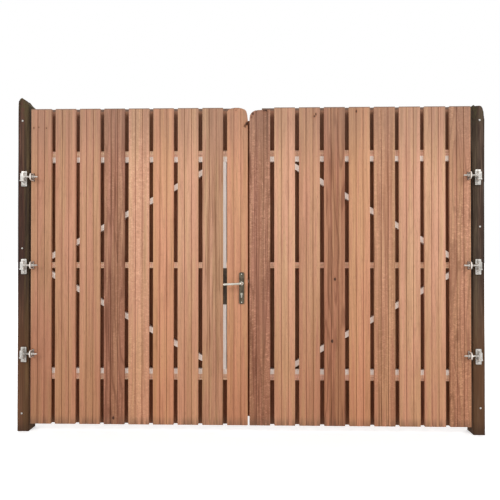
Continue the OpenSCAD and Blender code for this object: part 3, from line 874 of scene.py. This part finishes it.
case_paint = painted_steel("lock_case_paint", srgb(84, 70, 54), srgb(50, 40, 30), 0.5, 0.3, 40)
case_tree = case_paint.node_tree
case_shader = case_tree.nodes["Principled BSDF"]
case_place = shader_node(case_tree, "TexCoord").outputs["Object"]
case_x = shader_node(case_tree, "SeparateXYZ", {0: case_place}).outputs[0]
# the case stops short of the closing board's edge, and only the bolt's nose goes on
CASE_SETBACK = 19.5 * MM
CASE_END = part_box("left_front_board_9")[1].x - CASE_SETBACK
on_bolt = calc(case_tree, "GREATER_THAN", case_x, CASE_END)
case_tone = case_shader.inputs["Base Color"].links[0].from_socket
case_tone = blend(case_tree, on_bolt, case_tone, srgb(226, 196, 172))
case_tree.links.new(case_tone, case_shader.inputs["Base Color"])
give("lock_case", case_paint)
give("strike_box", FRAME_ZINC)

# ---- Handle plates ----
# Long aluminium plates, one on the closing board and one at the back, dull with
# weather. Corners and rim are rounded, with a screw above and one below.
front_low, front_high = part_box("front_handle_plate")
LEVER_X = (front_low.x + front_high.x) / 2
lever_low, lever_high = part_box("lever_handles")
LEVER_Z = (lever_low.z + lever_high.z) / 2
LEVER_R = (lever_high.z - lever_low.z) / 2
PLATE_METAL = painted_steel("plate_metal", srgb(112, 103, 84), srgb(66, 58, 45), 0.46, 0.4, 60)
LEVER_METAL = painted_steel("lever_metal", srgb(236, 234, 224), srgb(196, 192, 178), 0.24, 0.9,
                            30)
CORNER_R, RIM_W, RIM_ROUND = 8.2 * MM, 2.4 * MM, 1.6 * MM
PLATE_SCREW_INSET = 12 * MM


def handle_plate(node, facing):
    low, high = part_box(node)
    plate = block(low, high)
    pick(plate, "EDGE", lambda a, b: abs(a.y - b.y) > MM)
    bpy.ops.mesh.bevel(offset=CORNER_R, segments=8)
    done()
    pick(plate, "FACE", lambda f: f.normal.y * facing > 0.99)
    bpy.ops.mesh.inset(thickness=RIM_W)
    done()
    rim_y = high.y if facing > 0 else low.y

    def within(co):
        """Well inside the plate's outline."""
        return (low.x + 2 * MM < co.x < high.x - 2 * MM
                and low.z + 2 * MM < co.z < high.z - 2 * MM)

    pick(plate, "EDGE", lambda a, b: max(abs(a.y - rim_y), abs(b.y - rim_y)) < 0.1 * MM
         and min(abs(c.x - e) for c in (a, b) for e in (low.x, high.x)) < CORNER_R + 0.1 * MM
         and not (within(a) and within(b)))
    bpy.ops.mesh.bevel(offset=RIM_ROUND, segments=3)
    done()
    return plate


def plate_screw(z, face_y, facing):
    head = disc((LEVER_X, face_y + facing * 0.3 * MM, z), "y", 3.6 * MM, 1.6 * MM, 20)
    round_edges(head, 0.6 * MM, 2)
    pick(head, "FACE", lambda f: f.normal.y * facing > 0.99)
    bpy.ops.mesh.inset(thickness=1.4 * MM)
    bpy.ops.transform.translate(value=(0, -facing * 0.9 * MM, 0))
    done()
    return head


for node, name, facing in (("front_handle_plate", "front_plate", -1),
                           ("back_handle_plate", "back_plate", 1)):
    low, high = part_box(node)
    face_y = low.y if facing < 0 else high.y
    plate = dress(handle_plate(node, facing), name, "left_leaf", PLATE_METAL, 30)
    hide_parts(node)
    levels = (high.z - PLATE_SCREW_INSET, low.z + PLATE_SCREW_INSET)
    heads = join([plate_screw(z, face_y, facing) for z in levels])
    dress(heads, name + "_screws", "left_leaf", LEVER_METAL)

# ---- Lever ----
# Cast lever handles on one spindle, worn bright by hands. The neck comes
# straight out of a collar, bends and runs to the hinge side, drooping a little.
BEND_R, DROOP = 14 * MM, 5 * MM
GRIP_STEPS = 4
COLLAR_R, COLLAR_T = 12.5 * MM, 3.6 * MM
SPINDLE_HALF = 4 * MM
front_face, back_face = front_low.y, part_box("back_handle_plate")[1].y


def lever(face_y, facing):
    grip_y = lever_low.y + LEVER_R if facing < 0 else lever_high.y - LEVER_R
    neck_end = grip_y - facing * BEND_R
    bpy.ops.object.select_all(action="DESELECT")
    turn = math.pi / 2 * -facing
    bpy.ops.mesh.primitive_circle_add(vertices=28, radius=LEVER_R * 0.94, fill_type="NGON",
                                      location=(LEVER_X, face_y, LEVER_Z), rotation=(turn, 0, 0))
    handle = bpy.context.object
    bpy.ops.object.transform_apply(location=True, rotation=True, scale=True)
    take_all(handle, "FACE")
    neck = (0, neck_end - face_y, 0)
    bpy.ops.mesh.extrude_region_move(TRANSFORM_OT_translate={"value": neck})
    bpy.ops.mesh.spin(steps=9, angle=turn, center=(LEVER_X - BEND_R, neck_end, LEVER_Z),
                      axis=(0, 0, 1))
    run = LEVER_X - BEND_R - lever_low.x
    step = (-run / GRIP_STEPS, 0, -DROOP / GRIP_STEPS)
    for _ in range(GRIP_STEPS):
        bpy.ops.mesh.extrude_region_move(TRANSFORM_OT_translate={"value": step})
    done()
    take_all(handle)
    bpy.ops.mesh.remove_doubles(threshold=0.01 * MM)
    bpy.ops.mesh.normals_make_consistent(inside=False)
    done()
    pick(handle, "EDGE", lambda a, b: max(a.x, b.x) < lever_low.x + 0.5 * MM)
    bpy.ops.mesh.bevel(offset=6 * MM, segments=6)
    done()
    collar = disc((LEVER_X, face_y + facing * 1.6 * MM, LEVER_Z), "y", COLLAR_R, COLLAR_T, 36)
    round_edges(collar, 1.2 * MM, 3)
    return [handle, collar]


spindle = block((LEVER_X - SPINDLE_HALF, front_face, LEVER_Z - SPINDLE_HALF),
                (LEVER_X + SPINDLE_HALF, back_face, LEVER_Z + SPINDLE_HALF))
round_edges(spindle, 0.5 * MM, 2)
levers = join(lever(front_face, -1) + lever(back_face, 1) + [spindle])
dress(levers, "levers_and_spindle", "lever", LEVER_METAL, 40)
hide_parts("lever_handles")

# ---- Lock cylinder ----
# A nickel-plated profile cylinder, the same on both sides. Its plug has a
# narrow keyway and stands just proud of the body.
CYLINDER_METAL = painted_steel("cylinder_metal", srgb(222, 218, 204), srgb(150, 146, 134), 0.3,
                               0.85, 120)
give("lock_cylinder", CYLINDER_METAL)
cylinder_low, cylinder_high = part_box("lock_cylinder")
PLUG_R, BODY_R = 6.6 * MM, 8.5 * MM
KEYWAY_W, KEYWAY_H, KEYWAY_DEPTH = 1.8 * MM, 9.2 * MM, 3 * MM
PLUG_Z = cylinder_high.z - BODY_R


def plug(face_y, facing):
    made = disc((LEVER_X, face_y + facing * 0.2 * MM, PLUG_Z), "y", PLUG_R, 1.6 * MM, 32)
    round_edges(made, 0.5 * MM, 2)
    keyway = block((LEVER_X - KEYWAY_W / 2, face_y - KEYWAY_DEPTH, PLUG_Z - KEYWAY_H / 2),
                   (LEVER_X + KEYWAY_W / 2, face_y + KEYWAY_DEPTH, PLUG_Z + KEYWAY_H / 2))
    carve(made, keyway)
    return made


plugs = join([plug(cylinder_low.y, -1), plug(cylinder_high.y, 1)])
dress(plugs, "cylinder_plugs", "left_leaf", CYLINDER_METAL)

# ---- Floor, light and camera ----
# A pale floor and a white backdrop. Two broad soft lamps in front light the
# leaves evenly from both sides and leave the gaps dark, and two are behind.
FLOOR_SIZE, FLOOR_X = 120, 1.5
GLOW_NEAR, GLOW_FAR = 3.5, 9.0
SKY_LEVEL = 0.5
LAMP_SIZE, LAMP_ASIDE, LAMP_AWAY, LAMP_HIGH = 5.0, 9.0, 8.6, 8.2
FRONT_POWER, BACK_POWER = 660, 420
CAMERA_PLACE, CAMERA_TILT, CAMERA_TURN = (1.630, -3.344, 1.215), 90.42, 1.35
scene = bpy.context.scene
scene.view_settings.view_transform = "Standard"
bpy.ops.object.select_all(action="DESELECT")
bpy.ops.mesh.primitive_plane_add(size=FLOOR_SIZE, location=(FLOOR_X, 0, 0))
floor = bpy.context.object
floor.name = "floor"
floor_material, floor_tree, floor_shader = new_material("floor_paint", 0.9)
floor_shader.inputs["Base Color"].default_value = (0.86, 0.86, 0.86, 1)
floor_shader.inputs["Emission Color"].default_value = (1, 1, 1, 1)
seen = shader_node(floor_tree, "LightPath").outputs["Is Camera Ray"]
floor_place = shader_node(floor_tree, "TexCoord").outputs["Object"]
far_off = shader_node(floor_tree, "VectorMath", {0: floor_place}, operation="LENGTH")
# to the camera the floor shines more with distance, so that it runs into the backdrop
glow = ramp(floor_tree, far_off.outputs["Value"], GLOW_NEAR, GLOW_FAR, 0.42, 1.0)
glow = calc(floor_tree, "MULTIPLY", seen, glow)
floor_tree.links.new(glow, floor_shader.inputs["Emission Strength"])
floor.data.materials.append(floor_material)

world = bpy.data.worlds.new("studio")
world.use_nodes = True
scene.world = world
sky = world.node_tree.nodes["Background"]
rays = shader_node(world.node_tree, "LightPath").outputs
mirrored = calc(world.node_tree, "MAXIMUM", rays["Is Glossy Ray"], rays["Is Transmission Ray"])
shown = calc(world.node_tree, "MAXIMUM", rays["Is Camera Ray"], mirrored)
levels = {"Value": shown, "To Min": SKY_LEVEL, "To Max": 1.0}
level = shader_node(world.node_tree, "MapRange", levels).outputs[0]
world.node_tree.links.new(level, sky.inputs["Strength"])
sky.inputs["Color"].default_value = (1, 1, 1, 1)

middle_x = (cad_low.x + cad_high.x) / 2
for name, side, front in (("left_lamp", -1, 1), ("right_lamp", 1, 1),
                          ("left_back_lamp", -1, -1), ("right_back_lamp", 1, -1)):
    lamp_data = bpy.data.lights.new(name, "AREA")
    lamp_data.shape = "RECTANGLE"
    lamp_data.size, lamp_data.size_y = LAMP_SIZE, LAMP_SIZE
    lamp_data.energy = FRONT_POWER if front == 1 else BACK_POWER
    lamp = bpy.data.objects.new(name, lamp_data)
    lamp.location = (middle_x + side * LAMP_ASIDE, -LAMP_AWAY * front, LAMP_HIGH)
    lamp.rotation_euler = (math.radians(60), 0, math.radians(side * (46 if front == 1 else 134)))
    scene.collection.objects.link(lamp)

camera_data = bpy.data.cameras.new("camera")
camera_data.lens = 35
camera = bpy.data.objects.new("camera", camera_data)
camera.location = CAMERA_PLACE
camera.rotation_euler = (math.radians(CAMERA_TILT), 0, math.radians(CAMERA_TURN))
scene.collection.objects.link(camera)
scene.camera = camera
